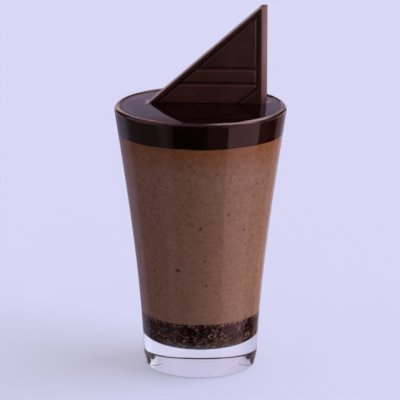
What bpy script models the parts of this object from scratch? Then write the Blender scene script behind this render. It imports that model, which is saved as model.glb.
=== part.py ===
"""Chocolate cheesecake shooter.

A small flared dessert glass with a heavy clear base holds three layers: crushed dark biscuit,
chocolate cheesecake and a smooth ganache filled almost to the lip. A moulded chocolate triangle,
engraved with grooves, stands upright in the ganache.

Metres, +Z up. The origin is the middle of the glass's foot, on the surface it stands on, and the
grooved face of the triangle looks along -Y.
"""

import math

import bmesh
import bpy

MM = 0.001

# Glass, outside
GLASS_HEIGHT = 81.2 * MM
RIM_RADIUS = 26.0 * MM  # widest, where the wall meets the rounded lip
LIP_THICKNESS = 1.7 * MM
LIP_RISE = 1.15 * MM  # height of the lip's rounded top
LIP_CREST = 1.3 * MM  # how far in from the outside the lip is highest
LIP_CENTRE = GLASS_HEIGHT - LIP_RISE
HEEL_HEIGHT = 4.5 * MM
HEEL_RADIUS = 17.45 * MM  # where the heel's curve meets the wall
HEEL_ROUNDNESS = 1.6  # above 1, the heel draws in faster towards its foot
CORNER_HEIGHT = 0.4 * MM
CORNER_RADIUS = 16.7 * MM  # where the heel meets the small rounded corner under it
FOOT_RADIUS = 15.7 * MM  # outer edge of the flat ring that it stands on
PUNT_RADIUS = 10.3 * MM  # inner edge of that ring
PUNT_HEIGHT = 0.3 * MM  # hollow under the base
PUNT_ROUNDNESS = 3.0  # above 1, the hollow rises mostly near its edge
WALL_SLOPE_AT_HEEL = 0.04
WALL_SLOPE_AT_RIM = 0.148

# Glass, inside
FLOOR_HEIGHT = 7.7 * MM
WALL_AT_FLOOR = 2.6 * MM
FLOOR_FILLET = 8.0 * MM

# Filling
GAP = 0.3 * MM  # between pieces that touch
CRUMB_TOP = 16.9 * MM
CRUMB_UNEVENNESS = 0.35 * MM
CHEESECAKE_TOP = 73.0 * MM
GANACHE_EDGE = 80.75 * MM  # nearly level with the lip
GANACHE_CROWN = 0.65 * MM  # how much higher the ganache is at its middle
GANACHE_FLATNESS = 3  # the higher, the flatter its middle and the steeper its edge

# Triangle. u runs to the right along its face, v up from the ganache, w back through it.
TRIANGLE_THICKNESS = 4.0 * MM
TRIANGLE_WIDTH = 34.0 * MM  # at the ganache, on the grooved face
TRIANGLE_SLOPE = math.radians(41.2)
TRIANGLE_TOP = 29.25 * MM  # blunt tip, on the grooved face
TRIANGLE_SUNK = 3.3 * MM
TRIANGLE_WATERLINE = 81.2 * MM
RIGHT_DRAFT = 1.62 * MM  # how much further out the plain back is than the grooved face
SLANT_DRAFT = 0.15 * MM
TOP_DRAFT = 0.6 * MM
TRIANGLE_CORNER = (18.3 * MM, -0.5 * MM)  # grooved face's right-hand edge, seen from above
TRIANGLE_YAW = math.radians(-2.8)

# Grooves
GROOVE_HALF_WIDTH = 0.7 * MM
GROOVE_DEPTH = 0.85 * MM
GROOVE_CLEARANCE = 0.3 * MM  # how far a cutter stands proud of the face
CROSS_GROOVES = (6.2 * MM, 10.8 * MM)  # heights of the two level grooves
UPRIGHT_GROOVE_INSET = 1.3 * MM
SLANT_GROOVE_INSET = 1.2 * MM
CORNER_GROOVE_HEIGHT = 4.9 * MM  # where it leaves the upright groove
CORNER_GROOVE_SLOPE = math.radians(38.0)

# Fineness
TURN_STEPS = 64
LIP_STEPS = 4  # on each side of the crest
WALL_STEPS = 9
HEEL_STEPS = 4
CORNER_STEPS = 4
FLOOR_CORNER_STEPS = 5
PUNT_STEPS = 3
TOP_RINGS = 5


def clear_scene():
    for scene_object in list(bpy.data.objects):
        bpy.data.objects.remove(scene_object, do_unlink=True)


def material(name, colour, roughness, metallic=0.0, transmission=0.0):
    made = bpy.data.materials.new(name)
    made.use_nodes = True
    shader = made.node_tree.nodes["Principled BSDF"]
    shader.inputs["Base Color"].default_value = (*colour, 1.0)
    shader.inputs["Roughness"].default_value = roughness
    shader.inputs["Metallic"].default_value = metallic
    shader.inputs["Transmission Weight"].default_value = transmission
    return made


def hermite(t, start, end, start_slope, end_slope):
    """A smooth run from start to end as t goes from 0 to 1."""
    return (
        start * (1 + 2 * t) * (1 - t) ** 2
        + start_slope * t * (1 - t) ** 2
        + end * (3 - 2 * t) * t**2
        + end_slope * t**2 * (t - 1)
    )


def outer_radius(z):
    span = LIP_CENTRE - HEEL_HEIGHT
    return hermite(
        (z - HEEL_HEIGHT) / span,
        HEEL_RADIUS,
        RIM_RADIUS,
        WALL_SLOPE_AT_HEEL * span,
        WALL_SLOPE_AT_RIM * span,
    )


def inner_radius(z):
    """The wall grows thicker from the lip down to the floor. Above, the lip curves outwards."""
    if z > LIP_CENTRE:
        across = math.sqrt(1 - ((z - LIP_CENTRE) / LIP_RISE) ** 2)
        return RIM_RADIUS - LIP_CREST - (LIP_THICKNESS - LIP_CREST) * across
    share = (LIP_CENTRE - z) / (LIP_CENTRE - FLOOR_HEIGHT)
    return outer_radius(z) - LIP_THICKNESS - (WALL_AT_FLOOR - LIP_THICKNESS) * share


def arc(centre, radii, start, end, steps):
    """Points on an ellipse's arc about centre, from angle start to end in degrees."""
    points = []
    for step in range(steps + 1):
        angle = math.radians(start + (end - start) * step / steps)
        points.append(
            (centre[0] + radii[0] * math.cos(angle), centre[1] + radii[1] * math.sin(angle))
        )
    return points


def heights(low, high, steps):
    return [low + (high - low) * step / steps for step in range(steps + 1)]


def floor_corner(inset):
    """The rounded corner between the glass's floor and its wall, moved in by inset."""
    radius = FLOOR_FILLET - inset
    centre_height = FLOOR_HEIGHT + FLOOR_FILLET
    centre = (inner_radius(centre_height) - FLOOR_FILLET, centre_height)
    return arc(centre, (radius, radius), -90, 0, FLOOR_CORNER_STEPS)


def heel_profile():
    """The heel draws in towards a small rounded corner, which ends on the foot's flat ring."""
    points = []
    for z in heights(HEEL_HEIGHT, CORNER_HEIGHT, HEEL_STEPS):
        share = (HEEL_HEIGHT - z) / (HEEL_HEIGHT - CORNER_HEIGHT)
        drawn_in = (HEEL_RADIUS - CORNER_RADIUS) * share**HEEL_ROUNDNESS
        points.append((HEEL_RADIUS - drawn_in, z))
    centre = (FOOT_RADIUS, CORNER_HEIGHT)
    radii = (CORNER_RADIUS - FOOT_RADIUS, CORNER_HEIGHT)
    return points + arc(centre, radii, 0, -90, CORNER_STEPS)[1:]


def punt_profile():
    """The shallow hollow inside the foot's ring, from its edge to the axis."""
    points = []
    for step in range(PUNT_STEPS + 1):
        share = step / PUNT_STEPS
        rise = PUNT_HEIGHT * (1 - (1 - share) ** PUNT_ROUNDNESS)
        points.append((PUNT_RADIUS * (1 - share), rise))
    return points


def lip_profile():
    """From the wall's inside over the crest to its outside."""
    crest = (RIM_RADIUS - LIP_CREST, LIP_CENTRE)
    inner = arc(crest, (LIP_THICKNESS - LIP_CREST, LIP_RISE), 180, 90, LIP_STEPS)
    outer = arc(crest, (LIP_CREST, LIP_RISE), 90, 0, LIP_STEPS)
    return inner + outer[1:]


def glass_profile():
    low = FLOOR_HEIGHT + FLOOR_FILLET
    inside = [(inner_radius(z), z) for z in heights(low, LIP_CENTRE, WALL_STEPS)]
    outside = [(outer_radius(z), z) for z in heights(LIP_CENTRE, HEEL_HEIGHT, WALL_STEPS)]
    return (
        [(0, FLOOR_HEIGHT)]
        + floor_corner(0)[:-1]
        + inside
        + lip_profile()[1:-1]
        + outside
        + heel_profile()[1:]
        + punt_profile()
    )


def turn(name, profile, finish, shape=None):
    """Turns a profile of (radius, height) about Z, from its first point on the axis, down its
    outer side, to its last point on the axis. shape may move each point: it takes (x, y, z) and
    gives the new z."""
    work = bmesh.new()
    rings = []
    for radius, z in profile:
        ring = []
        count = TURN_STEPS if radius > 0 else 1
        for step in range(count):
            angle = 2 * math.pi * step / TURN_STEPS
            x = radius * math.cos(angle)
            y = radius * math.sin(angle)
            ring.append(work.verts.new((x, y, shape(x, y, z) if shape else z)))
        rings.append(ring)
    for upper, lower in zip(rings, rings[1:]):
        for step in range(TURN_STEPS):
            after = (step + 1) % TURN_STEPS
            if len(upper) == 1:
                work.faces.new((upper[0], lower[step], lower[after]))
            elif len(lower) == 1:
                work.faces.new((upper[after], upper[step], lower[0]))
            else:
                work.faces.new((upper[after], upper[step], lower[step], lower[after]))
    bmesh.ops.recalc_face_normals(work, faces=work.faces)
    mesh = bpy.data.meshes.new(name)
    work.to_mesh(mesh)
    work.free()
    mesh.shade_smooth()
    mesh.set_sharp_from_angle(angle=math.radians(40))
    mesh.materials.append(finish)
    made = bpy.data.objects.new(name, mesh)
    bpy.context.scene.collection.objects.link(made)
    return made


def crumb_swell(x, y):
    """How far the biscuit's uneven top rises above or dips below its mean height."""
    waves = (
        math.sin(310 * x + 1.3) * math.cos(270 * y - 0.4)
        + 0.6 * math.sin(640 * x - 520 * y + 2.1)
        + 0.4 * math.cos(900 * y + 410 * x)
    )
    return CRUMB_UNEVENNESS * waves / 2


def wall_down(top, bottom, steps):
    """The side of a filling, GAP inside the glass."""
    return [(inner_radius(z) - GAP, z) for z in heights(top, bottom, steps)]


def top_rings(radius, z):
    return [(radius * ring / TOP_RINGS, z) for ring in range(TOP_RINGS)]


def make_glass():
    return turn("glass", glass_profile(), material("clear_glass", (1, 1, 1), 0.02, 0, 1))


def make_crumbs():
    corner = floor_corner(GAP)[::-1]
    wall = wall_down(CRUMB_TOP, FLOOR_HEIGHT + FLOOR_FILLET, 3)
    profile = (
        top_rings(inner_radius(CRUMB_TOP) - GAP, CRUMB_TOP)
        + wall[:-1]
        + corner
        + [(0, FLOOR_HEIGHT + GAP)]
    )

    def uneven(x, y, z):
        return z + crumb_swell(x, y) if z > CRUMB_TOP - GAP else z

    return turn(
        "biscuit_crumb_base", profile, material("biscuit", (0.045, 0.022, 0.014), 0.8), uneven
    )


def make_cheesecake():
    top = CHEESECAKE_TOP - GAP / 2
    bottom = CRUMB_TOP + GAP
    radius = inner_radius(bottom) - GAP
    profile = [(0, top)] + wall_down(top, bottom, WALL_STEPS) + top_rings(radius, bottom)[::-1]

    def uneven(x, y, z):
        return z + crumb_swell(x, y) if z < bottom + GAP else z

    return turn(
        "cheesecake_filling", profile, material("cheesecake", (0.16, 0.075, 0.045), 0.5), uneven
    )


def make_ganache():
    bottom = CHEESECAKE_TOP + GAP / 2
    edge = inner_radius(GANACHE_EDGE) - GAP
    profile = (
        top_rings(edge, GANACHE_EDGE)
        + [(edge, GANACHE_EDGE)]
        + wall_down(LIP_CENTRE, bottom, 2)
        + [(0, bottom)]
    )

    def crowned(x, y, z):
        if z < GANACHE_EDGE:
            return z
        share = min(1, math.hypot(x, y) / edge)
        return z + GANACHE_CROWN * (1 - share**GANACHE_FLATNESS)

    return turn(
        "chocolate_ganache", profile, material("ganache", (0.02, 0.008, 0.005), 0.08), crowned
    )


def place_on_ganache(made):
    made.location = (*TRIANGLE_CORNER, TRIANGLE_WATERLINE)
    made.rotation_euler = (0, 0, TRIANGLE_YAW)


def slant_point(v, outward):
    """Where the slanting edge, moved out by outward, is at height v."""
    return (v - outward / math.cos(TRIANGLE_SLOPE)) / math.tan(TRIANGLE_SLOPE) - TRIANGLE_WIDTH


def triangle_outline(w, grow):
    """The four corners at depth w, anticlockwise as seen from the front."""
    share = w / TRIANGLE_THICKNESS
    right = RIGHT_DRAFT * share + grow
    top = TRIANGLE_TOP + TOP_DRAFT * share + grow
    bottom = -TRIANGLE_SUNK - grow
    outward = SLANT_DRAFT * share + grow
    corners = (
        (slant_point(bottom, outward), bottom),
        (right, bottom),
        (right, top),
        (slant_point(top, outward), top),
    )
    return [(u, w, v) for u, v in corners]


def solid_between(name, front, back):
    """A closed solid between two outlines of as many corners."""
    work = bmesh.new()
    near = [work.verts.new(corner) for corner in front]
    far = [work.verts.new(corner) for corner in back]
    work.faces.new(near)
    work.faces.new(far[::-1])
    for step in range(len(near)):
        after = (step + 1) % len(near)
        work.faces.new((near[after], near[step], far[step], far[after]))
    bmesh.ops.recalc_face_normals(work, faces=work.faces)
    mesh = bpy.data.meshes.new(name)
    work.to_mesh(mesh)
    work.free()
    made = bpy.data.objects.new(name, mesh)
    bpy.context.scene.collection.objects.link(made)
    return made


def groove_cutter(name, start, end):
    """A V-shaped bar along the face from start to end, both (u, v)."""
    along = (end[0] - start[0], end[1] - start[1])
    length = math.hypot(*along)
    across = (-along[1] / length, along[0] / length)
    reach = GROOVE_HALF_WIDTH * (GROOVE_DEPTH + GROOVE_CLEARANCE) / GROOVE_DEPTH

    def section(centre):
        u, v = centre
        return (
            (u + across[0] * reach, -GROOVE_CLEARANCE, v + across[1] * reach),
            (u - across[0] * reach, -GROOVE_CLEARANCE, v - across[1] * reach),
            (u, GROOVE_DEPTH, v),
        )

    return solid_between(name, section(start), section(end))


def hide_tool(tool):
    tool.hide_render = True
    tool.display_type = "WIRE"


def cut(made, tool):
    modifier = made.modifiers.new(tool.name, "BOOLEAN")
    modifier.operation = "DIFFERENCE"
    modifier.object = tool


def groove_runs():
    """The start and end of each groove, as (u, v)."""
    upright = -UPRIGHT_GROOVE_INSET
    below = -TRIANGLE_SUNK - GROOVE_CLEARANCE
    inset = -SLANT_GROOVE_INSET

    def slant_height(u):
        run = (u + TRIANGLE_WIDTH) * math.tan(TRIANGLE_SLOPE)
        return run + inset / math.cos(TRIANGLE_SLOPE)

    tip = (upright, slant_height(upright))
    junction = (upright, CORNER_GROOVE_HEIGHT)
    drop = CORNER_GROOVE_HEIGHT - below
    runs = [
        (tip, (slant_point(below, inset), below)),
        (tip, junction),
        (junction, (upright - drop / math.tan(CORNER_GROOVE_SLOPE), below)),
    ]
    for height in CROSS_GROOVES:
        runs.append(((slant_point(height, inset), height), (upright, height)))
    return runs


def make_triangle():
    made = solid_between(
        "chocolate_triangle", triangle_outline(0, 0), triangle_outline(TRIANGLE_THICKNESS, 0)
    )
    made.data.materials.append(material("dark_chocolate", (0.03, 0.012, 0.008), 0.35))
    place_on_ganache(made)
    for number, (start, end) in enumerate(groove_runs(), 1):
        tool = groove_cutter(f"groove_tool_{number}", start, end)
        place_on_ganache(tool)
        hide_tool(tool)
        cut(made, tool)
    return made


def cut_pocket(ganache):
    """The slot in the ganache that the triangle stands in, GAP clear of it all round."""
    tool = solid_between(
        "pocket_tool",
        triangle_outline(-GAP, GAP),
        triangle_outline(TRIANGLE_THICKNESS + GAP, GAP),
    )
    place_on_ganache(tool)
    hide_tool(tool)
    cut(ganache, tool)


def main():
    clear_scene()
    make_glass()
    make_crumbs()
    make_cheesecake()
    cut_pocket(make_ganache())
    make_triangle()


main()
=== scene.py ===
"""Looks of the chocolate cheesecake shooter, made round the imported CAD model.

Each filling is rebuilt finer and reaches just into the glass, so that the glass is full. All
lengths are in metres. The glass stands on the origin, and the camera looks along +Y.
"""

import math

import bmesh
import bpy
import numpy as np
from mathutils import Matrix, Vector, noise


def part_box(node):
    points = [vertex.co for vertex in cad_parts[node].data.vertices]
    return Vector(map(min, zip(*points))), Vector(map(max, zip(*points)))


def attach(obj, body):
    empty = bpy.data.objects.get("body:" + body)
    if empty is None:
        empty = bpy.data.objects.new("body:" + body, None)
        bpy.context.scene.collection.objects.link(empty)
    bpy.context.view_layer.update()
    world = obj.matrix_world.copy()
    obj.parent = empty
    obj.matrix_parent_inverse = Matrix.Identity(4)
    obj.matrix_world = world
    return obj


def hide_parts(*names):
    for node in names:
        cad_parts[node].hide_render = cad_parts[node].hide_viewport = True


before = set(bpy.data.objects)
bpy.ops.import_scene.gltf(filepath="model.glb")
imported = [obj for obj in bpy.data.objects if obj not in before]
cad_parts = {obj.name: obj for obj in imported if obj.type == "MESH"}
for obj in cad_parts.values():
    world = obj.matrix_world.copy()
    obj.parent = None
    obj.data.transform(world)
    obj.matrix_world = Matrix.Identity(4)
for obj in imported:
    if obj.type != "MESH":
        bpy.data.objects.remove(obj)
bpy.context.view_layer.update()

MM = 0.001

TOUCH = 1e-6  # heights closer than this count as one

# What the CAD model says
_, GLASS_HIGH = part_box("glass")
CRUMB_LOW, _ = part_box("biscuit_crumb_base")
_, CHEESECAKE_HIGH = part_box("cheesecake_filling")
TRIANGLE_LOW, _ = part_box("chocolate_triangle")
GAP = 0.3 * MM  # that the CAD model leaves between pieces

# Glass
RIM_RADIUS = GLASS_HIGH.x
GLASS_HEIGHT = GLASS_HIGH.z
LIP_THICKNESS = 1.7 * MM
LIP_RISE = 1.15 * MM
LIP_CREST = 1.3 * MM  # how far in from the outside the lip is highest
LIP_CENTRE = GLASS_HEIGHT - LIP_RISE
HEEL_HEIGHT = 4.5 * MM  # where the wall ends and the heel tapers in to the small bottom corner
HEEL_RADIUS = 17.45 * MM
HEEL_ROUNDNESS = 1.6
CORNER_HEIGHT = 0.4 * MM
CORNER_RADIUS = 16.7 * MM
FOOT_RADIUS = 15.7 * MM  # the flat ring that the glass stands on goes from here to the punt
PUNT_RADIUS = 10.3 * MM  # the punt is the shallow hollow under the base
PUNT_HEIGHT = 0.3 * MM
PUNT_ROUNDNESS = 3.0
WALL_SLOPE_AT_HEEL = 0.04
WALL_SLOPE_AT_RIM = 0.148
FLOOR_HEIGHT = CRUMB_LOW.z - GAP
WALL_AT_FLOOR = 2.6 * MM
FLOOR_FILLET = 8.0 * MM

# Filling
REACH = 0.05 * MM  # how far the filling goes into the glass
CRUMB_TOP = 16.9 * MM
CRUMB_EDGE = 0.3 * MM  # how uneven the crumbs' upper edge is, and over what length
CRUMB_EDGE_WAVE = 4 * MM
CHEESECAKE_TOP = CHEESECAKE_HIGH.z + GAP / 2
CHEESECAKE_EDGE = 0.18 * MM
CHEESECAKE_EDGE_WAVE = 9 * MM
CHEESECAKE_SUNK = 1.0 * MM  # how far the cheesecake goes down into the crumbs
GANACHE_EDGE = 80.75 * MM
GANACHE_CROWN = 0.65 * MM
GANACHE_FLATNESS = 3
GANACHE_SHOULDER = 0.05 * MM  # how far below its edge the side's rows start
GANACHE_SWELL = 0.02 * MM  # how far its surface is from even, and over what length
GANACHE_SWELL_WAVE = 7 * MM
GANACHE_GLOSS_DEPTH = 0.2 * MM  # how far down its side the ganache is as glossy as its top
LIP_MENISCUS = 0.1 * MM  # how far the ganache climbs the glass, and how fast it falls off
LIP_MENISCUS_REACH = 0.3 * MM
TRIANGLE_MENISCUS = 0.3 * MM
TRIANGLE_MENISCUS_REACH = 0.6 * MM

# Triangle. Its width, top and grooves' heights are taken from where it stands in the ganache.
TRIANGLE_THICKNESS = 4.0 * MM
TRIANGLE_WIDTH = 34.0 * MM
TRIANGLE_SLOPE = math.radians(41.2)
TRIANGLE_TOP = 29.25 * MM
TRIANGLE_SUNK = 3.3 * MM  # how far down it goes into the ganache
TRIANGLE_WATERLINE = TRIANGLE_LOW.z + TRIANGLE_SUNK
RIGHT_DRAFT = 1.62 * MM  # how much larger the back is than the front, at each edge
SLANT_DRAFT = 0.15 * MM
TOP_DRAFT = 0.6 * MM
TRIANGLE_CORNER = (18.3 * MM, -0.5 * MM)  # where the front's upright edge is
TRIANGLE_YAW = math.radians(-2.8)
GROOVE_HALF_WIDTH = 0.7 * MM
GROOVE_DEPTH = 0.85 * MM
GROOVE_CLEARANCE = 0.3 * MM
CROSS_GROOVES = (6.2 * MM, 10.8 * MM)
UPRIGHT_GROOVE_INSET = 1.3 * MM
SLANT_GROOVE_INSET = 1.2 * MM
CORNER_GROOVE_HEIGHT = 4.9 * MM
CORNER_GROOVE_SLOPE = math.radians(38.0)
MERGE_DISTANCE = 0.01 * MM  # corners closer than this are made one after the grooves are cut
FLAT_ANGLE = math.radians(1)  # faces that differ by less are made one
EDGE_ANGLE = math.radians(20)  # edges with a larger angle are rounded off
EDGE_ROUNDING = 0.16 * MM
EDGE_ROUNDING_STEPS = 3
SHARP_ANGLE = math.radians(50)  # and edges with a larger angle than this are shaded sharp

# Camera
CAMERA_ELEVATION = math.radians(15.2)
CAMERA_DISTANCE = 0.817
CAMERA_AIM = Vector((-0.15 * MM, 0, 51.38 * MM))
CAMERA_LENS = 242.0  # this and the sensor's width are in millimetres, as Blender has them
SENSOR_WIDTH = 36.0
CLIP_START = 0.05
CLIP_END = 20


# ---------------------------------------------------------------- meshes


def mesh_object(name, points, faces, material, smooth=True):
    mesh = bpy.data.meshes.new(name)
    mesh.from_pydata([tuple(point) for point in points], [], [tuple(face) for face in faces])
    mesh.update()
    mesh.materials.append(material)
    if smooth:
        mesh.shade_smooth()
    made = bpy.data.objects.new(name, mesh)
    bpy.context.scene.collection.objects.link(made)
    return made


def hermite(t, start, end, start_slope, end_slope):
    """A smooth curve from start, at t = 0, to end, at t = 1, with those slopes there."""
    return (
        start * (1 + 2 * t) * (1 - t) ** 2
        + start_slope * t * (1 - t) ** 2
        + end * (3 - 2 * t) * t**2
        + end_slope * t**2 * (t - 1)
    )


def outer_radius(z):
    wall_height = LIP_CENTRE - HEEL_HEIGHT
    return hermite(
        (z - HEEL_HEIGHT) / wall_height,
        HEEL_RADIUS,
        RIM_RADIUS,
        WALL_SLOPE_AT_HEEL * wall_height,
        WALL_SLOPE_AT_RIM * wall_height,
    )


def inner_radius(z):
    if z > LIP_CENTRE:
        across = math.sqrt(1 - min(1.0, (z - LIP_CENTRE) / LIP_RISE) ** 2)
        return RIM_RADIUS - LIP_CREST - (LIP_THICKNESS - LIP_CREST) * across
    share = (LIP_CENTRE - z) / (LIP_CENTRE - FLOOR_HEIGHT)
    return outer_radius(z) - LIP_THICKNESS - (WALL_AT_FLOOR - LIP_THICKNESS) * share


GANACHE_RADIUS = inner_radius(GANACHE_EDGE + LIP_MENISCUS)


def arc(centre, radii, start, end, steps):
    """Points (radius, height) on an oval, from one angle to another in degrees."""
    points = []
    for step in range(steps + 1):
        angle = math.radians(start + (end - start) * step / steps)
        points.append(
            (centre[0] + radii[0] * math.cos(angle), centre[1] + radii[1] * math.sin(angle))
        )
    return points


def evenly(first, last, steps):
    return [first + (last - first) * step / steps for step in range(steps + 1)]


def turned(name, profile, steps, material, move=None):
    """Turns (radius, height) points about Z. They go from the axis to the axis, so that the
    outside goes down. move takes (x, y, z) and gives the point's place."""
    points = []
    starts = []
    for radius, z in profile:
        starts.append(len(points))
        for step in range(steps if radius > 0 else 1):
            angle = 2 * math.pi * step / steps
            point = (radius * math.cos(angle), radius * math.sin(angle), z)
            points.append(move(*point) if move else point)
    faces = []
    for row in range(len(profile) - 1):
        upper, lower = starts[row], starts[row + 1]
        for step in range(steps):
            after = (step + 1) % steps
            if profile[row][0] == 0:
                faces.append((upper, lower + step, lower + after))
            elif profile[row + 1][0] == 0:
                faces.append((upper + after, upper + step, lower))
            else:
                faces.append((upper + after, upper + step, lower + step, lower + after))
    return mesh_object(name, points, faces, material)


def rough_ball(detail):
    """Corners and triangles of a ball of radius 1, as arrays."""
    work = bmesh.new()
    bmesh.ops.create_icosphere(work, subdivisions=detail, radius=1.0)
    points = np.array([tuple(corner.co) for corner in work.verts])
    faces = np.array([[corner.index for corner in face.verts] for face in work.faces])
    work.free()
    return points, faces


def run_lengths(outline):
    return np.hypot(*np.diff(np.array(outline), axis=0).T)


def run_ends(outline):
    """How far along the outline each of its points is."""
    return np.concatenate(([0.0], np.cumsum(run_lengths(outline))))


def on_outline(outline, distance):
    """Radius and height, and outward normal, at a distance along a turned outline that goes
    from the bottom up."""
    points = np.array(outline)
    runs = np.diff(points, axis=0)
    lengths = run_lengths(outline)
    ends = run_ends(outline)
    run = np.clip(np.searchsorted(ends, distance) - 1, 0, len(runs) - 1)
    share = (distance - ends[run]) / lengths[run]
    place = points[run] + runs[run] * share[:, None]
    normal = np.stack((runs[run, 1], -runs[run, 0]), axis=1) / lengths[run][:, None]
    return place, normal


def scatter(random, outline, count):
    """Distances along a turned outline and angles round it, as dense all over its surface.
    More are drawn than are wanted, and they are thinned out towards the axis."""
    drawn = 4 * count
    distance = random.uniform(0, run_lengths(outline).sum(), drawn)
    radius = on_outline(outline, distance)[0][:, 0]
    widest = np.array(outline)[:, 0].max()
    wanted = random.uniform(0, widest, drawn) < radius
    distance = distance[wanted][:count]
    return distance, random.uniform(0, 2 * math.pi, len(distance))


def lumps(random, outline, distance, angle, sizes, poke, detail, unevenness):
    """Rough balls in a turned surface. sizes are half lengths along it, across it and through
    it, one row for each, and poke is how far each stands out of the surface."""
    ball, triangles = rough_ball(detail)
    place, normal = on_outline(outline, distance)
    points = []
    faces = []
    for number in range(len(distance)):
        turn = Matrix.Rotation(angle[number], 3, "Z")
        out = turn @ Vector((normal[number, 0], 0, normal[number, 1]))
        level = turn @ Vector((0, 1, 0))
        spin = Matrix.Rotation(random.uniform(0, 2 * math.pi), 3, out)
        along = spin @ level
        across = out.cross(along)
        middle = turn @ Vector((place[number, 0], 0, place[number, 1]))
        middle += out * (poke[number] - sizes[number, 2])
        shape = ball * (1 - unevenness * random.uniform(0, 1, len(ball)))[:, None]
        half_axes = np.array((along, across, out)) * sizes[number][:, None]
        faces.append(triangles + len(ball) * number)
        points.append(shape @ half_axes + np.array(middle))
    return np.concatenate(points), np.concatenate(faces)


# ---------------------------------------------------------------- materials


def new_material(name):
    material = bpy.data.materials.new(name)
    material.use_nodes = True
    tree = material.node_tree
    return material, tree, tree.nodes["Principled BSDF"]


def add(tree, kind, inputs=None, **settings):
    made = tree.nodes.new(kind)
    for key, value in settings.items():
        setattr(made, key, value)
    for key, value in (inputs or {}).items():
        if isinstance(value, bpy.types.NodeSocket):
            tree.links.new(value, made.inputs[key])
        else:
            made.inputs[key].default_value = value
    return made


def object_place(tree):
    return add(tree, "ShaderNodeTexCoord").outputs["Object"]


def height_of(tree, place):
    return add(tree, "ShaderNodeSeparateXYZ", {"Vector": place}).outputs["Z"]


def first_channel(tree, colour):
    return add(tree, "ShaderNodeSeparateColor", {"Color": colour}).outputs["Red"]


def grain(tree, scale, detail=2.0, roughness=0.5):
    """Noise from 0 to 1 with features about 1/scale metres across."""
    inputs = {"Vector": object_place(tree), "Scale": scale, "Detail": detail}
    inputs["Roughness"] = roughness
    return add(tree, "ShaderNodeTexNoise", inputs).outputs["Fac"]


def ramp(tree, value, *stops):
    """A colour for each value from 0 to 1. stops are (position, colour)."""
    made = add(tree, "ShaderNodeValToRGB", {"Fac": value})
    elements = made.color_ramp.elements
    while len(elements) < len(stops):
        elements.new(0.5)
    for element, (position, colour) in zip(elements, stops):
        element.position = position
        element.color = (*colour, 1.0)
    return made.outputs["Color"]


def span(tree, value, low, high, to_low, to_high):
    """to_low where the value is low or less, to_high where it is high or more, and between them
    in between."""
    inputs = {"Value": value, "From Min": low, "From Max": high}
    inputs.update({"To Min": to_low, "To Max": to_high})
    return add(tree, "ShaderNodeMapRange", inputs).outputs["Result"]


def calculate(tree, operation, first, second=0.0):
    return add(tree, "ShaderNodeMath", {0: first, 1: second}, operation=operation).outputs[0]


# Where a Mix node that mixes colours has its sockets
MIX_SHARE = 0
MIX_FIRST = 6
MIX_SECOND = 7
MIX_RESULT = 2


def mixed(tree, share, first, second, blend="MIX"):
    made = add(tree, "ShaderNodeMix", data_type="RGBA", blend_type=blend)
    for key, value in ((MIX_SHARE, share), (MIX_FIRST, first), (MIX_SECOND, second)):
        if isinstance(value, bpy.types.NodeSocket):
            tree.links.new(value, made.inputs[key])
        elif key == MIX_SHARE:
            made.inputs[key].default_value = value
        else:
            made.inputs[key].default_value = (*value, 1.0)
    return made.outputs[MIX_RESULT]


def bump(tree, shader, height, distance):
    made = add(tree, "ShaderNodeBump", {"Height": height, "Distance": distance})
    tree.links.new(made.outputs["Normal"], shader.inputs["Normal"])


def dull(shader):
    """What is pressed against the glass has no shine of its own."""
    shader.inputs["Roughness"].default_value = 0.6
    shader.inputs["Specular IOR Level"].default_value = 0.0


def glass_material():
    material, tree, shader = new_material("clear_glass")
    shader.inputs["Base Color"].default_value = (0.985, 0.99, 1.0, 1)
    shader.inputs["Transmission Weight"].default_value = 1.0
    shader.inputs["IOR"].default_value = 1.55
    rough = span(tree, grain(tree, 60.0, detail=3.0), 0.35, 0.75, 0.0, 0.012)
    tree.links.new(rough, shader.inputs["Roughness"])
    bump(tree, shader, grain(tree, 45.0, detail=1.0), 0.01 * MM)
    return material


# Painted shade: how far down the cheesecake its painted darker, warmer top starts, and where it is
# full
TOP_SHADE_LOW = 9 * MM
TOP_SHADE_HIGH = 1 * MM


def cheesecake_material():
    material, tree, shader = new_material("chocolate_cheesecake")
    mottle = grain(tree, 900.0, detail=4.0, roughness=0.6)
    colour = ramp(tree, mottle, (0.32, (0.33, 0.16, 0.093)), (0.68, (0.44, 0.223, 0.136)))
    cloud = grain(tree, 330.0, detail=3.0, roughness=0.6)
    blotch = ramp(tree, cloud, (0.38, (0.95, 0.94, 0.93)), (0.62, (1.05, 1.05, 1.05)))
    colour = mixed(tree, 1.0, colour, blotch, "MULTIPLY")
    # Painted shade: the cheesecake is painted darker and warmer towards its upper edge, under the
    # ganache.
    height = height_of(tree, object_place(tree))
    painted_top_shade = span(tree, height, CHEESECAKE_TOP - TOP_SHADE_LOW, CHEESECAKE_TOP - TOP_SHADE_HIGH, 0.0, 1.0)
    colour = mixed(tree, painted_top_shade, colour, (0.92, 0.64, 0.38), "MULTIPLY")
    # A few of the cells have a small dark speck in the middle.
    cells = {"Vector": object_place(tree), "Scale": 620.0}
    cells = add(tree, "ShaderNodeTexVoronoi", cells).outputs
    middle = ramp(tree, cells["Distance"], (0.10, (1, 1, 1)), (0.24, (0, 0, 0)))
    own = first_channel(tree, cells["Color"])
    chosen = ramp(tree, own, (0.72, (0, 0, 0)), (0.95, (1, 1, 1)))
    speck = calculate(tree, "MULTIPLY", middle, chosen)
    colour = mixed(tree, speck, colour, (0.11, 0.052, 0.036))
    tree.links.new(colour, shader.inputs["Base Color"])
    dull(shader)
    return material


def random_for_piece(tree):
    """A random number from 0 to 1, its own for each separate part of a mesh."""
    return add(tree, "ShaderNodeNewGeometry").outputs["Random Per Island"]


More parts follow.
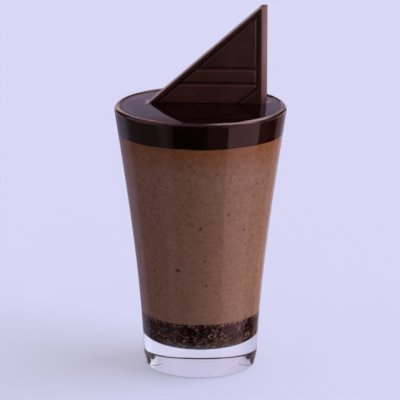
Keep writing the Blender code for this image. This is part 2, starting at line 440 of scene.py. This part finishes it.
def fleck_material():
    material, tree, shader = new_material("chocolate_fleck")
    own = random_for_piece(tree)
    colour = ramp(tree, own, (0.2, (0.05, 0.023, 0.017)), (0.8, (0.16, 0.075, 0.052)))
    tree.links.new(colour, shader.inputs["Base Color"])
    dull(shader)
    return material


def ganache_material():
    material, tree, shader = new_material("ganache")
    mottle = grain(tree, 200.0, detail=3.0)
    colour = ramp(tree, mottle, (0.3, (0.0035, 0.0006, 0.0005)), (0.7, (0.005, 0.0009, 0.0008)))
    tree.links.new(colour, shader.inputs["Base Color"])
    rough = span(tree, grain(tree, 150.0, detail=2.0), 0.3, 0.7, 0.02, 0.06)
    tree.links.new(rough, shader.inputs["Roughness"])
    shader.inputs["IOR"].default_value = 1.46
    bump(tree, shader, grain(tree, 110.0, detail=1.0), 0.02 * MM)
    return material


def ganache_side_material():
    material, tree, shader = new_material("ganache_against_glass")
    mottle = grain(tree, 200.0, detail=3.0)
    colour = ramp(tree, mottle, (0.3, (0.008, 0.002, 0.0015)), (0.7, (0.013, 0.004, 0.003)))
    tree.links.new(colour, shader.inputs["Base Color"])
    dull(shader)
    return material


def chocolate_material():
    material, tree, shader = new_material("dark_chocolate")
    bloom = grain(tree, 170.0, detail=5.0, roughness=0.6)
    colour = ramp(tree, bloom, (0.3, (0.034, 0.0095, 0.006)), (0.7, (0.056, 0.017, 0.011)))
    tree.links.new(colour, shader.inputs["Base Color"])
    rough = span(tree, grain(tree, 400.0, detail=4.0), 0.3, 0.7, 0.26, 0.38)
    tree.links.new(rough, shader.inputs["Roughness"])
    shader.inputs["IOR"].default_value = 1.45
    bump(tree, shader, grain(tree, 700.0, detail=3.0), 0.02 * MM)
    return material


# The crumbs are paler near the glass's floor, up to PALE_HIGH above it. They trap air on the floor
# and its rounded corner, and there a clear coat shines where it is seen at a slant. The coat is
# whole up to FILM_LOW above the floor and gone at FILM_HIGH.
PALE_HIGH = 4.5 * MM
FILM_LOW = 0.8 * MM
FILM_HIGH = 3.0 * MM


def crumb_material(name, own_number):
    """own_number takes the node tree and gives a random number for each crumb."""
    material, tree, shader = new_material(name)
    height = height_of(tree, object_place(tree))
    paler = span(tree, height, FLOOR_HEIGHT, FLOOR_HEIGHT + PALE_HIGH, 0.22, 0.0)
    patch = span(tree, grain(tree, 300.0, detail=2.0), 0.38, 0.60, 0.62, 1.05)
    own = calculate(tree, "MULTIPLY", own_number(tree), patch)
    own = calculate(tree, "ADD", own, paler)
    colour = ramp(
        tree,
        own,
        (0.0, (0.004, 0.002, 0.002)),
        (0.46, (0.011, 0.0045, 0.0035)),
        (0.62, (0.085, 0.03, 0.019)),
        (0.82, (0.24, 0.10, 0.065)),
        (0.98, (0.30, 0.145, 0.10)),
        (1.0, (0.42, 0.27, 0.21)),
    )
    # Painted shade: near-black patches stand for the shade inside the holes between the crumbs.
    shaded_holes = grain(tree, 2600.0, detail=3.0, roughness=0.6)
    colour = mixed(tree, span(tree, shaded_holes, 0.36, 0.56, 0.7, 0.0), colour, (0.006, 0.003, 0.0025))
    tree.links.new(colour, shader.inputs["Base Color"])
    film = span(tree, height, FLOOR_HEIGHT + FILM_LOW, FLOOR_HEIGHT + FILM_HIGH, 1.0, 0.0)
    tree.links.new(film, shader.inputs["Coat Weight"])
    shader.inputs["Coat Roughness"].default_value = 0.08
    shader.inputs["Coat IOR"].default_value = 1.7
    shader.inputs["Roughness"].default_value = 0.65
    shader.inputs["Specular IOR Level"].default_value = 0.03
    return material


def random_for_pressed_crumb(tree):
    """A random number for each cell, where swirls bend the cells' edges by up to 0.6 mm."""
    swirl = {"Vector": object_place(tree), "Scale": 900.0}
    swirl = add(tree, "ShaderNodeTexNoise", swirl).outputs["Color"]
    where = mixed(tree, 0.6 * MM, object_place(tree), swirl, "ADD")
    cells = add(tree, "ShaderNodeTexVoronoi", {"Vector": where, "Scale": 1500.0})
    return first_channel(tree, cells.outputs["Color"])


# ---------------------------------------------------------------- glass and fillings

TURN_STEPS = 192
FLOOR_CORNER_STEPS = 10
WALL_STEPS_INSIDE = 36
RIM_STEPS_INSIDE = 12
RIM_STEPS_OUTSIDE = 18
WALL_STEPS_OUTSIDE = 40
RIM_BLEND = 0.3 * MM  # just below the rim the wall's rows are closer, over this height
RIM_BLEND_STEPS = 3
HEEL_STEPS = 16
FOOT_STEPS = 12
PUNT_STEPS = 40
FLOOR_STEPS = 6
# Rows over the flat ring's width, close together at its edges, so that it is shaded flat
RING_SHARES = (0.01, 0.04, 0.2, 0.5, 0.8, 0.96, 0.99, 1)

CHEESECAKE_ROWS = 40
GANACHE_TOP_ROWS = 130
GANACHE_SIDE_ROWS = 8
CRUMB_CORNER_STEPS = 16
CRUMB_WALL_STEPS = 12
CORE_STEPS = 640
CORE_ROWS = 110
CORE_LUMP = 0.55 * MM  # how wide the pressed crumbs are
CORE_RELIEF = 0.05 * MM  # how high their middles stand
CORE_DIP = 1.6  # how much of that is lost for each lump's width away from the middle

# Kinds of separate crumbs: name, how many, smallest and largest half width, and how many times
# the ball that each is made from is subdivided. The smaller sizes are commoner.
CRUMB_KINDS = (
    ("fine_crumbs", 6200, 0.13 * MM, 0.34 * MM, 1),
    ("coarse_crumbs", 700, 0.35 * MM, 0.8 * MM, 2),
)
CRUMB_SEED = 7
CRUMBS_ABOVE = 0.2 * MM  # how far above the layer's edge they reach
CRUMB_RARITY = 1.7  # the higher, the fewer of them are large
CRUMB_STRETCH = (0.75, 1.3)
CRUMB_FLATNESS = 0.7
CRUMB_POKE = (0.04, 0.14)  # how far they stand out of the layer, in millimetres
CRUMB_UNEVENNESS = 0.35

FLECK_SEED = 11
SMALL_FLECKS = 420
SMALL_FLECK = 0.06 * MM  # smallest half width, how much larger they get, and how rarely
SMALL_FLECK_SPREAD = 0.16 * MM
SMALL_FLECK_RARITY = 2
FLECK_LENGTH = 1.15  # their sizes along the cheesecake's side, for a half width of 1
FLECK_WIDTH = 0.8
FLECK_STRETCH = (0.75, 1.25)
FLECK_DEPTH = 0.1 * MM
FLECK_POKE = 0.6  # the share of the depth that stands out of the cheesecake
FLECK_DETAIL = 2
FLECK_ROWS = 40
FLECK_UNEVENNESS = 0.2
# The large flecks that the photo shows: degrees round from -Y towards +X, and height and half
# width in millimetres
LARGE_FLECKS = (
    (-21.7, 34.3, 0.81),
    (0.1, 48.0, 0.55),
    (23.8, 51.9, 0.55),
    (39.9, 46.6, 0.47),
    (-27.3, 60.6, 0.39),
    (3.9, 37.5, 0.39),
    (3.6, 45.3, 0.34),
    (-48.2, 32.8, 0.44),
    (-4.5, 66.0, 0.39),
    (11.9, 65.3, 0.34),
)


def floor_corner(steps):
    """The rounded corner inside the glass, from the flat floor up to the wall."""
    centre_height = FLOOR_HEIGHT + FLOOR_FILLET
    centre = (inner_radius(centre_height) - FLOOR_FILLET, centre_height)
    return arc(centre, (FLOOR_FILLET, FLOOR_FILLET), -90, 0, steps)


def glass_profile():
    """The glass's outline from the middle of its floor, up the inside, over the lip, down the
    outside and under the foot to the middle."""
    corner = floor_corner(FLOOR_CORNER_STEPS)
    floor_radius = corner[0][0]
    flat = [(floor_radius * step / FLOOR_STEPS, FLOOR_HEIGHT) for step in range(FLOOR_STEPS)]
    inner_heights = evenly(FLOOR_HEIGHT + FLOOR_FILLET, LIP_CENTRE, WALL_STEPS_INSIDE)
    inside = [(inner_radius(z), z) for z in inner_heights]
    crest = (RIM_RADIUS - LIP_CREST, LIP_CENTRE)
    rim = arc(crest, (LIP_THICKNESS - LIP_CREST, LIP_RISE), 180, 90, RIM_STEPS_INSIDE)
    rim += arc(crest, (LIP_CREST, LIP_RISE), 90, 0, RIM_STEPS_OUTSIDE)[1:]
    outer_heights = evenly(LIP_CENTRE, LIP_CENTRE - RIM_BLEND, RIM_BLEND_STEPS)
    outer_heights += evenly(LIP_CENTRE - 2 * RIM_BLEND, HEEL_HEIGHT, WALL_STEPS_OUTSIDE)
    outside = [(outer_radius(z), z) for z in outer_heights]
    heel = []
    for z in evenly(HEEL_HEIGHT, CORNER_HEIGHT, HEEL_STEPS)[1:]:
        share = (HEEL_HEIGHT - z) / (HEEL_HEIGHT - CORNER_HEIGHT)
        heel.append((HEEL_RADIUS - (HEEL_RADIUS - CORNER_RADIUS) * share**HEEL_ROUNDNESS, z))
    foot_corner = (CORNER_RADIUS - FOOT_RADIUS, CORNER_HEIGHT)
    heel += arc((FOOT_RADIUS, CORNER_HEIGHT), foot_corner, 0, -90, FOOT_STEPS)[1:]
    ring = [(FOOT_RADIUS + (PUNT_RADIUS - FOOT_RADIUS) * share, 0) for share in RING_SHARES]
    punt = []
    for step in range(1, PUNT_STEPS + 1):
        share = step / PUNT_STEPS
        rise = PUNT_HEIGHT * (1 - (1 - share) ** PUNT_ROUNDNESS)
        punt.append((PUNT_RADIUS * (1 - share), rise))
    return flat + corner[:-1] + inside + rim[1:-1] + outside + heel + ring + punt


def make_glass():
    made = turned("glass_wall", glass_profile(), TURN_STEPS, glass_material())
    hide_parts("glass")
    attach(made, "root")


def waviness(x, y, size, wavelength):
    """How far a layer's edge strays up or down where it meets the glass: a long wave, and a
    shorter one of half its size that is read elsewhere in the noise."""
    around = Vector((x, y, 0)).normalized() * (inner_radius(CRUMB_TOP) / wavelength)
    shorter = around * 2.7 + Vector((5, 0, 0))
    return size * (noise.noise(around) + 0.5 * noise.noise(shorter))


def cheesecake_edge(x, y, z):
    if z > CHEESECAKE_TOP - TOUCH:
        z += waviness(x, y, CHEESECAKE_EDGE, CHEESECAKE_EDGE_WAVE)
    return (x, y, z)


def make_cheesecake():
    low = CRUMB_TOP - CHEESECAKE_SUNK
    profile = [(0, CHEESECAKE_TOP)]
    side = evenly(CHEESECAKE_TOP, low, CHEESECAKE_ROWS)
    profile += [(inner_radius(z) + REACH, z) for z in side]
    profile += [(0, low)]
    made = turned("cheesecake", profile, TURN_STEPS, cheesecake_material(), cheesecake_edge)
    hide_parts("cheesecake_filling")
    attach(made, "root")


def beside_triangle(x, y):
    """How far a place on the ganache is from the triangle that stands in it."""
    turn = Matrix.Rotation(-TRIANGLE_YAW, 2)
    u, w = turn @ Vector((x - TRIANGLE_CORNER[0], y - TRIANGLE_CORNER[1]))
    left = max(slant_point(0, 0) - u, 0)
    right = max(u - RIGHT_DRAFT * min(max(w / TRIANGLE_THICKNESS, 0), 1), 0)
    return math.hypot(left + right, max(-w, 0) + max(w - TRIANGLE_THICKNESS, 0))


def ganache_height(x, y):
    """The surface is slightly crowned, and climbs a little where it meets glass or triangle."""
    radius = math.hypot(x, y)
    crown = GANACHE_CROWN * max(0.0, 1 - (radius / GANACHE_RADIUS) ** GANACHE_FLATNESS)
    lip = LIP_MENISCUS * math.exp(min(0.0, radius - GANACHE_RADIUS) / LIP_MENISCUS_REACH)
    triangle = TRIANGLE_MENISCUS * math.exp(-beside_triangle(x, y) / TRIANGLE_MENISCUS_REACH)
    swell = GANACHE_SWELL * noise.noise(Vector((x, y, 0)) / GANACHE_SWELL_WAVE)
    return GANACHE_EDGE + crown + lip + triangle + swell


def make_ganache():
    turns = evenly(0, math.pi / 2, GANACHE_TOP_ROWS)  # so that the rows crowd at the edge
    profile = [(GANACHE_RADIUS * math.sin(turn), GANACHE_EDGE) for turn in turns]
    profile.append((GANACHE_RADIUS + REACH, GANACHE_EDGE))
    side = evenly(GANACHE_EDGE - GANACHE_SHOULDER, CHEESECAKE_TOP, GANACHE_SIDE_ROWS)
    profile += [(inner_radius(z) + REACH, z) for z in side]
    profile += [(0, CHEESECAKE_TOP)]

    def surface(x, y, z):
        if z > GANACHE_EDGE - TOUCH:
            return (x, y, ganache_height(x, y))
        return cheesecake_edge(x, y, z) if z < CHEESECAKE_TOP + TOUCH else (x, y, z)

    made = turned("ganache", profile, 2 * TURN_STEPS, ganache_material(), surface)
    made.data.materials.append(ganache_side_material())
    for face in made.data.polygons:
        if face.center.z < GANACHE_EDGE - GANACHE_GLOSS_DEPTH:
            face.material_index = 1
    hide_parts("chocolate_ganache")
    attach(made, "root")


def crumb_outline(top=CRUMB_TOP):
    """Where the crumbs meet the glass, from the middle of its floor up the wall."""
    wall = evenly(FLOOR_HEIGHT + FLOOR_FILLET, top, CRUMB_WALL_STEPS)[1:]
    outline = [(0, FLOOR_HEIGHT)] + floor_corner(CRUMB_CORNER_STEPS)
    return outline + [(inner_radius(z), z) for z in wall]


def row_key(z):
    """A height in tenths of a micrometre, to look up its row by."""
    return round(z * 1e7)


def make_crumb_core():
    """The layer itself, with crumbs pressed flat against the glass as low relief."""
    outline = crumb_outline()
    length = run_lengths(outline).sum()
    rows, normals = on_outline(outline, np.linspace(0, length, CORE_ROWS))
    profile = [(radius, z) for radius, z in rows[::-1]]
    outward = {row_key(z): normal for (_, z), normal in zip(rows, normals)}

    def relief(x, y, z):
        if z > CRUMB_TOP - TOUCH:
            z += waviness(x, y, CRUMB_EDGE, CRUMB_EDGE_WAVE)
        point = Vector((x, y, z))
        from_middle = noise.voronoi(point / CORE_LUMP)[0][0]
        rise = REACH + CORE_RELIEF * (1 - CORE_DIP * from_middle)
        out = outward.get(row_key(z), normals[-1])  # the uneven edge isn't in the list
        radial = Vector((x, y, 0)).normalized()
        return point + (radial * float(out[0]) + Vector((0, 0, float(out[1])))) * rise

    made = turned(
        "crumb_core",
        [(0, CRUMB_TOP)] + profile,
        CORE_STEPS,
        crumb_material("pressed_biscuit", random_for_pressed_crumb),
        relief,
    )
    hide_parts("biscuit_crumb_base")
    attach(made, "root")


def make_crumbs():
    """Separate crumbs in the layer's surface: many fine ones, and fewer larger lumps."""
    random = np.random.default_rng(CRUMB_SEED)
    material = crumb_material("loose_biscuit", random_for_piece)
    outline = crumb_outline(CRUMB_TOP + CRUMBS_ABOVE)
    for name, count, smallest, largest, detail in CRUMB_KINDS:
        distance, angle = scatter(random, outline, count)
        share = random.uniform(0, 1, len(distance)) ** CRUMB_RARITY
        size = smallest + (largest - smallest) * share
        stretch = random.uniform(*CRUMB_STRETCH, (len(distance), 2))
        width = size / stretch[:, 0] * stretch[:, 1]
        sizes = np.stack((size * stretch[:, 0], width, size * CRUMB_FLATNESS), axis=1)
        poke = REACH + random.uniform(*CRUMB_POKE, len(distance)) * MM
        parts = lumps(
            random, outline, distance, angle, sizes, poke, detail, CRUMB_UNEVENNESS
        )
        made = mesh_object(name, *parts, material, smooth=detail > 1)
        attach(made, "root")


def make_flecks():
    """Dark flecks of chocolate in the cheesecake, where it meets the glass: small ones anywhere,
    and the large ones where the photo has them."""
    random = np.random.default_rng(FLECK_SEED)
    rows = evenly(CRUMB_TOP + MM, CHEESECAKE_TOP - MM, FLECK_ROWS)
    outline = [(inner_radius(z), z) for z in rows]
    distance, angle = scatter(random, outline, SMALL_FLECKS)
    share = random.uniform(0, 1, len(distance)) ** SMALL_FLECK_RARITY
    size = SMALL_FLECK + SMALL_FLECK_SPREAD * share
    large_heights = [z * MM for _, z, _ in LARGE_FLECKS]
    large_distance = np.interp(large_heights, [z for _, z in outline], run_ends(outline))
    large_angle = np.radians([around - 90 for around, _, _ in LARGE_FLECKS])
    distance = np.concatenate((distance, large_distance))
    angle = np.concatenate((angle, large_angle))
    size = np.concatenate((size, [half * MM for _, _, half in LARGE_FLECKS]))
    stretch = random.uniform(*FLECK_STRETCH, len(distance))
    length = FLECK_LENGTH * size * stretch
    width = FLECK_WIDTH * size / stretch
    depth = np.full(len(distance), FLECK_DEPTH)
    sizes = np.stack((length, width, depth), axis=1)
    poke = REACH + FLECK_POKE * depth
    parts = lumps(
        random, outline, distance, angle, sizes, poke, FLECK_DETAIL, FLECK_UNEVENNESS
    )
    made = mesh_object("chocolate_flecks", *parts, fleck_material())
    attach(made, "root")


# ---------------------------------------------------------------- triangle


# The triangle's own directions: u to the right, from its upright edge at the front, w through it
# from front to back, and v up from the ganache.


def slant_point(v, outward):
    """Where the slanting edge is at a height, moved outward from the front's edge."""
    return (v - outward / math.cos(TRIANGLE_SLOPE)) / math.tan(TRIANGLE_SLOPE) - TRIANGLE_WIDTH


def triangle_outline(w):
    """Its corners at a depth. It gets larger to the back, as what comes out of a mould does."""
    share = w / TRIANGLE_THICKNESS
    right = RIGHT_DRAFT * share
    top = TRIANGLE_TOP + TOP_DRAFT * share
    outward = SLANT_DRAFT * share
    corners = (
        (slant_point(-TRIANGLE_SUNK, outward), -TRIANGLE_SUNK),
        (right, -TRIANGLE_SUNK),
        (right, top),
        (slant_point(top, outward), top),
    )
    return [(u, w, v) for u, v in corners]


def solid_between(name, front, back):
    """A closed solid between two outlines with as many corners."""
    work = bmesh.new()
    near = [work.verts.new(corner) for corner in front]
    far = [work.verts.new(corner) for corner in back]
    work.faces.new(near)
    work.faces.new(far[::-1])
    for step in range(len(near)):
        after = (step + 1) % len(near)
        work.faces.new((near[after], near[step], far[step], far[after]))
    bmesh.ops.recalc_face_normals(work, faces=work.faces)
    mesh = bpy.data.meshes.new(name)
    work.to_mesh(mesh)
    work.free()
    made = bpy.data.objects.new(name, mesh)
    bpy.context.scene.collection.objects.link(made)
    return made


def groove_cutter(name, start, end):
    """A wedge that cuts a V-shaped groove into the front from one (u, v) place to another."""
    along = (end[0] - start[0], end[1] - start[1])
    length = math.hypot(*along)
    across = (-along[1] / length, along[0] / length)
    reach = GROOVE_HALF_WIDTH * (GROOVE_DEPTH + GROOVE_CLEARANCE) / GROOVE_DEPTH

    def section(centre):
        u, v = centre
        return (
            (u + across[0] * reach, -GROOVE_CLEARANCE, v + across[1] * reach),
            (u - across[0] * reach, -GROOVE_CLEARANCE, v - across[1] * reach),
            (u, GROOVE_DEPTH, v),
        )

    return solid_between(name, section(start), section(end))


def groove_runs():
    """The start and end, as (u, v), of each groove in the front."""
    upright = -UPRIGHT_GROOVE_INSET
    below = -TRIANGLE_SUNK - GROOVE_CLEARANCE
    inset = -SLANT_GROOVE_INSET
    rise = (upright + TRIANGLE_WIDTH) * math.tan(TRIANGLE_SLOPE)
    tip = (upright, rise + inset / math.cos(TRIANGLE_SLOPE))
    junction = (upright, CORNER_GROOVE_HEIGHT)
    drop = CORNER_GROOVE_HEIGHT - below
    runs = [
        (tip, (slant_point(below, inset), below)),
        (tip, junction),
        (junction, (upright - drop / math.tan(CORNER_GROOVE_SLOPE), below)),
    ]
    for height in CROSS_GROOVES:
        runs.append(((slant_point(height, inset), height), (upright, height)))
    return runs


def bake_modifiers(made):
    """Replaces the object's mesh by what its modifiers make of it."""
    graph = bpy.context.evaluated_depsgraph_get()
    graph.update()
    mesh = bpy.data.meshes.new_from_object(made.evaluated_get(graph))
    made.modifiers.clear()
    made.data = mesh


def cut_grooves(made):
    tools = []
    for number, (start, end) in enumerate(groove_runs(), 1):
        tool = groove_cutter(f"groove_tool_{number}", start, end)
        cut = made.modifiers.new(tool.name, "BOOLEAN")
        cut.operation = "DIFFERENCE"
        cut.object = tool
        tools.append(tool)
    bake_modifiers(made)
    for tool in tools:
        bpy.data.objects.remove(tool, do_unlink=True)


def join_flat_faces(made):
    """Joins what the cuts have split, so that only real edges are rounded off."""
    work = bmesh.new()
    work.from_mesh(made.data)
    bmesh.ops.remove_doubles(work, verts=work.verts, dist=MERGE_DISTANCE)
    bmesh.ops.dissolve_limit(
        work, angle_limit=FLAT_ANGLE, verts=work.verts, edges=work.edges
    )
    work.to_mesh(made.data)
    work.free()


def round_edges(made):
    round_off = made.modifiers.new("round_off", "BEVEL")
    round_off.width = EDGE_ROUNDING
    round_off.segments = EDGE_ROUNDING_STEPS
    round_off.limit_method = "ANGLE"
    round_off.angle_limit = EDGE_ANGLE
    bake_modifiers(made)


def make_triangle():
    front = triangle_outline(0)
    back = triangle_outline(TRIANGLE_THICKNESS)
    made = solid_between("triangle", front, back)
    cut_grooves(made)
    join_flat_faces(made)
    made.data.materials.clear()
    made.data.materials.append(chocolate_material())
    round_edges(made)
    to_corner = Matrix.Translation((*TRIANGLE_CORNER, TRIANGLE_WATERLINE))
    made.data.transform(to_corner @ Matrix.Rotation(TRIANGLE_YAW, 4, "Z"))
    made.data.shade_smooth()
    made.data.set_sharp_from_angle(angle=SHARP_ANGLE)
    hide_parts("chocolate_triangle")
    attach(made, "root")


# ---------------------------------------------------------------- surroundings

FLOOR_COLOUR = (0.27, 0.28, 0.34)
FLOOR_GLOW = (0.316, 0.312, 0.39)
FLOOR_REACH = 4.0
FLOOR_LEVEL = -0.03 * MM  # just clear of the foot

# The surroundings are plain colours with patches laid over them in turn. A patch has a name that
# says what it is, its colour, from and to in degrees round from -Y, the camera's side, towards +X,
# from and to in degrees up, and over how many degrees its edges fade.
# LIT_BY is laid over SKY_LOW, which turns into SKY higher up, and is what lights every surface.
# SEEN_THROUGH is laid over BEHIND_GLASS, and is what shows straight through the clear glass.
# MIRRORED is laid over SKY_LOW, and is what polished surfaces reflect.
SKY = (0.60, 0.60, 0.73)
BEHIND_GLASS = (0.62, 0.59, 0.80)
SKY_LOW = (0.41, 0.31, 0.45)
SKY_BAND = (14, 24)  # the degrees up over which SKY_LOW turns into SKY
WALL_PATCHES = (
    ("under", (0.13, 0.10, 0.13), -200, 200, -100, -25, 1.5),
    ("left", (0.13, 0.08, 0.095), -124, -40, -60, 26, 6),
    ("left_panel", (0.24, 0.145, 0.175), -62, -48, -60, 26, 1.5),
    ("ahead", (0.002, 0.001, 0.002), -40, 12, -60, 40, 3),
    ("near_key", (0.13, 0.047, 0.027), 12, 44, -60, 40, 3),
    ("past_key", (0.16, 0.05, 0.03), 85, 110, -60, -14, 4),
    ("far_past_key", (0.06, 0.012, 0.006), 106, 150, -60, -14, 4),
)
SEEN_THROUGH = (
    ("key_box", (1.0, 1.0, 1.1), 52, 128, -4, 50, 5),
)
LIT_BY = WALL_PATCHES + (
    ("dome", (0.9, 0.85, 0.95), -200, 200, 55, 100, 8),
    ("far_right", (1.5, 0.95, 1.0), 120, 160, -14, 4, 5),
    ("key_box", (5.1, 5.7, 6.9), 52, 128, -4, 50, 5),
)
MIRRORED = WALL_PATCHES + (
    ("behind_left", (0.26, 0.21, 0.28), -210, -127, -60, -13, 14),
    ("behind_right", (0.55, 0.48, 0.6), 150, 210, -60, -13, 7),
    ("above_left", (0.26, 0.12, 0.15), -210, -166, 20, 70, 3),
    ("above_right", (0.26, 0.12, 0.15), 166, 210, 20, 70, 3),
    ("crest_left", (2.0, 1.4, 1.5), -174, -157, 12, 45, 3),
    ("ring_left", (1.2, 0.9, 1.05), -176, -154, -8, 9, 2),
    ("ring_right", (1.2, 0.9, 1.05), 160, 176, -8, 9, 2),
    ("crest_right", (1.4, 0.95, 1.1), 148, 170, 14, 36, 3),
    ("high_left", (1.5, 0.65, 0.55), -160, -100, 45, 70, 5),
    ("dark_left", (0.2, 0.06, 0.06), -154, -124, -1, 34, 3),
    ("line_left", (1.1, 0.72, 0.78), -152, -122, -13, -3, 2),
    ("left_side", (1.0, 0.5, 0.47), -116, -55, 2, 28, 4),
    ("left_upper", (0.6, 0.2, 0.15), -124, -55, 32, 46, 3),
    ("overhead", (0.7, 0.12, 0.12), -50, 50, 62, 90, 6),
    ("right_line", (1.2, 0.55, 0.65), 30, 62, -13, 1, 2),
    ("right_near", (0.42, 0.2, 0.24), 30, 60, 4, 26, 3),
    ("right_above", (1.2, 0.5, 0.6), 36, 70, 30, 46, 4),
    ("right_side", (1.7, 0.8, 1.0), 62, 84, -10, 30, 3),
    ("right_edge", (1.2, 0.5, 0.45), 86, 120, -14, 3, 3),
    ("far_right", (1.6, 0.98, 1.12), 118, 152, -15.5, -2, 3),
    ("right_dark", (0.25, 0.06, 0.06), 90, 154, 5, 25, 3),
    ("veil_right", (0.36, 0.2, 0.22), 130, 150, -60, -15, 3),
    ("window", (4.7, 3.0, 3.15), 62, 172, 36, 78, 5),
)
# Last, over the patches of all three, comes a bright strip below the horizon with slanting sides.
# Each side has how many degrees round it is at KEY_MIDDLE degrees up, and how many it moves for
# each degree up.
KEY = (0.95, 0.44, 0.5)
KEY_LEFT = (43.5, 0.5)
KEY_RIGHT = (95.5, 1.9)
KEY_MIDDLE = -23.0
KEY_FADE = 1
KEY_BAND = (-60, 0, 2)  # from and to in degrees up, and over how many degrees it fades


def make_floor():
    material, tree, shader = new_material("floor")
    shader.inputs["Base Color"].default_value = (*FLOOR_COLOUR, 1)
    shader.inputs["Roughness"].default_value = 0.6
    shader.inputs["Specular IOR Level"].default_value = 0.2
    shader.inputs["Emission Color"].default_value = (*FLOOR_GLOW, 1)
    shader.inputs["Emission Strength"].default_value = 1.0
    directions = ((-1, -1), (1, -1), (1, 1), (-1, 1))
    corners = [(x * FLOOR_REACH, y * FLOOR_REACH, FLOOR_LEVEL) for x, y in directions]
    made = mesh_object("floor", corners, [(0, 1, 2, 3)], material)
    made.visible_glossy = False


def make_surroundings():
    world = bpy.data.worlds.new("surroundings")
    bpy.context.scene.world = world
    world.use_nodes = True
    tree = world.node_tree

    def times(first, second):
        return calculate(tree, "MULTIPLY", first, second)

    def minus(first, second):
        return calculate(tree, "SUBTRACT", first, second)

    def rising(value, edge, fade):
        return span(tree, value, edge - fade, edge + fade, 0.0, 1.0)

    def falling(value, edge, fade):
        return span(tree, value, edge - fade, edge + fade, 1.0, 0.0)

    def band(value, low, high, fade):
        return times(rising(value, low, fade), falling(value, high, fade))

    toward = add(tree, "ShaderNodeTexCoord").outputs["Generated"]
    toward = add(tree, "ShaderNodeSeparateXYZ", {"Vector": toward}).outputs
    around = calculate(tree, "ARCTAN2", toward["X"], times(toward["Y"], -1.0))
    around = times(around, math.degrees(1))
    up = times(calculate(tree, "ARCSINE", toward["Z"]), math.degrees(1))

    above_middle = minus(up, KEY_MIDDLE)
    left_side = rising(minus(around, times(above_middle, KEY_LEFT[1])), KEY_LEFT[0], KEY_FADE)
    right_side = minus(around, times(above_middle, KEY_RIGHT[1]))
    right_side = falling(right_side, KEY_RIGHT[0], KEY_FADE)
    key = times(times(left_side, right_side), band(up, *KEY_BAND))

    def painted(colour, patches):
        for _name, shade, left, right, low, high, fade in patches:
            share = times(band(around, left, right, fade), band(up, low, high, fade))
            colour = mixed(tree, share, colour, shade)
        return mixed(tree, key, colour, KEY)

    sky = mixed(tree, span(tree, up, *SKY_BAND, 0.0, 1.0), SKY_LOW, SKY)
    lit_by = painted(sky, LIT_BY)
    seen_through = painted(BEHIND_GLASS, SEEN_THROUGH)
    mirrored = painted(SKY_LOW, MIRRORED)
    ray = add(tree, "ShaderNodeLightPath").outputs
    # A ray that has met a dull surface is there to light it, so it gets LIT_BY even where it goes
    # through the glass. Rough glass counts a ray that goes through it as glossy too.
    not_from_dull = calculate(tree, "LESS_THAN", ray["Diffuse Depth"], 0.5)
    through = times(ray["Is Transmission Ray"], not_from_dull)
    reflected = times(ray["Is Glossy Ray"], minus(1.0, ray["Is Transmission Ray"]))
    colour = mixed(tree, through, lit_by, seen_through)
    colour = mixed(tree, reflected, colour, mirrored)
    tree.links.new(colour, tree.nodes["Background"].inputs["Color"])


def make_camera():
    data = bpy.data.cameras.new("camera")
    data.lens = CAMERA_LENS
    data.sensor_width = SENSOR_WIDTH
    data.clip_start = CLIP_START
    data.clip_end = CLIP_END
    camera = bpy.data.objects.new("camera", data)
    bpy.context.scene.collection.objects.link(camera)
    back = Vector((0, -math.cos(CAMERA_ELEVATION), math.sin(CAMERA_ELEVATION)))
    camera.location = CAMERA_AIM + back * CAMERA_DISTANCE
    camera.rotation_euler = (-back).to_track_quat("-Z", "Y").to_euler()
    bpy.context.scene.camera = camera


def main():
    make_camera()
    make_glass()
    make_crumb_core()
    make_crumbs()
    make_cheesecake()
    make_flecks()
    make_ganache()
    make_triangle()
    make_floor()
    make_surroundings()
    bpy.context.scene.view_settings.view_transform = "Standard"


main()
